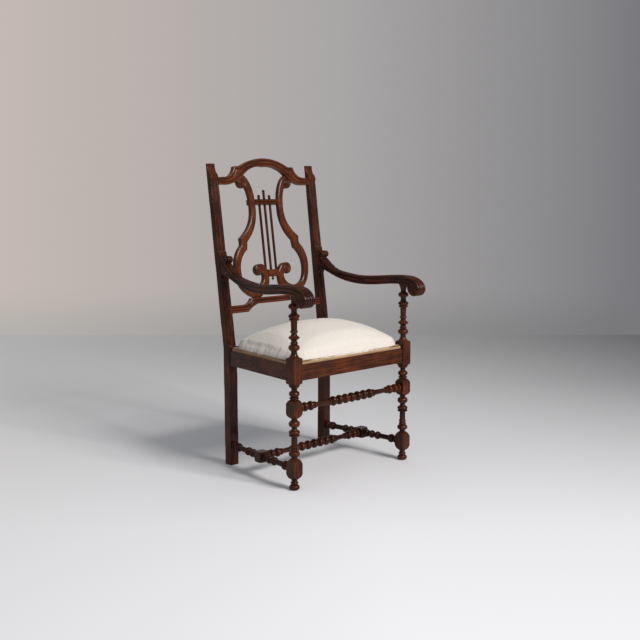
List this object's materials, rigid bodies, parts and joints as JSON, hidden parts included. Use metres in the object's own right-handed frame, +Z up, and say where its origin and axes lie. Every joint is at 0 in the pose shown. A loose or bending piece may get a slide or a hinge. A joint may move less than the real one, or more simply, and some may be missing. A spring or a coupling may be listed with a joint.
{
  "type": "lyre back armchair",
  "caption": "Dark wooden armchair with a lyre in its raked open back, turned front legs and stretchers, scrolled reeded arms and a crowned drop-in seat in pale woven fabric.",
  "frame": {"origin": "on the floor, under the middle of the overall box of the chair", "axes": "+Z up, +Y from the front of the chair to its back, +X to the right for someone who faces the front of the chair"},
  "size_m": [0.5708, 0.5628, 1.0854],
  "materials": {
    "dark_wood": "varnished dark walnut brown, semi-gloss",
    "inner_wood": "plain unvarnished wood",
    "cover_fabric": "cream looped weave",
    "stuffing": "felted padding",
    "jute_webbing": "coarse jute weave",
    "hessian": "open coarse weave",
    "black_lining": "matt thin cloth",
    "steel": "dull steel"
  },
  "bodies": {
    "chair_frame": {"arm_left": "dark_wood", "arm_right": "dark_wood", "corner_block_front_left": "inner_wood", "corner_block_front_right": "inner_wood", "corner_block_rear_left": "inner_wood", "corner_block_rear_right": "inner_wood", "corner_block_screws": "steel", "crest_rail": "dark_wood", "front_leg_left": "dark_wood", "front_leg_right": "dark_wood", "front_seat_rail": "dark_wood", "front_stretcher": "dark_wood", "lower_back_rail": "dark_wood", "lyre_block": "dark_wood", "lyre_crossbar": "dark_wood", "lyre_dowels": "dark_wood", "lyre_half_left": "dark_wood", "lyre_half_right": "dark_wood", "lyre_string_centre": "dark_wood", "lyre_string_left": "dark_wood", "lyre_string_right": "dark_wood", "middle_stretcher": "dark_wood", "rear_leg_left": "dark_wood", "rear_leg_right": "dark_wood", "rear_seat_rail": "dark_wood", "side_seat_rail_left": "dark_wood", "side_seat_rail_right": "dark_wood", "side_stretcher_left": "dark_wood", "side_stretcher_right": "dark_wood"},
    "slip_seat": {"dust_cover_tacks": "steel", "seat_cover": "cover_fabric", "seat_dust_cover": "black_lining", "seat_frame_front": "inner_wood", "seat_frame_left": "inner_wood", "seat_frame_rear": "inner_wood", "seat_frame_right": "inner_wood", "seat_hessian": "hessian", "seat_stuffing": "stuffing", "seat_webs_cross": "jute_webbing", "seat_webs_lengthwise": "jute_webbing"}
  },
  "joints": [
    {"name": "seat_lift", "type": "slide", "parent": "chair_frame", "child": "slip_seat", "axis": [0, 0, 1], "range_m": [0, 0.06]}
  ]
}
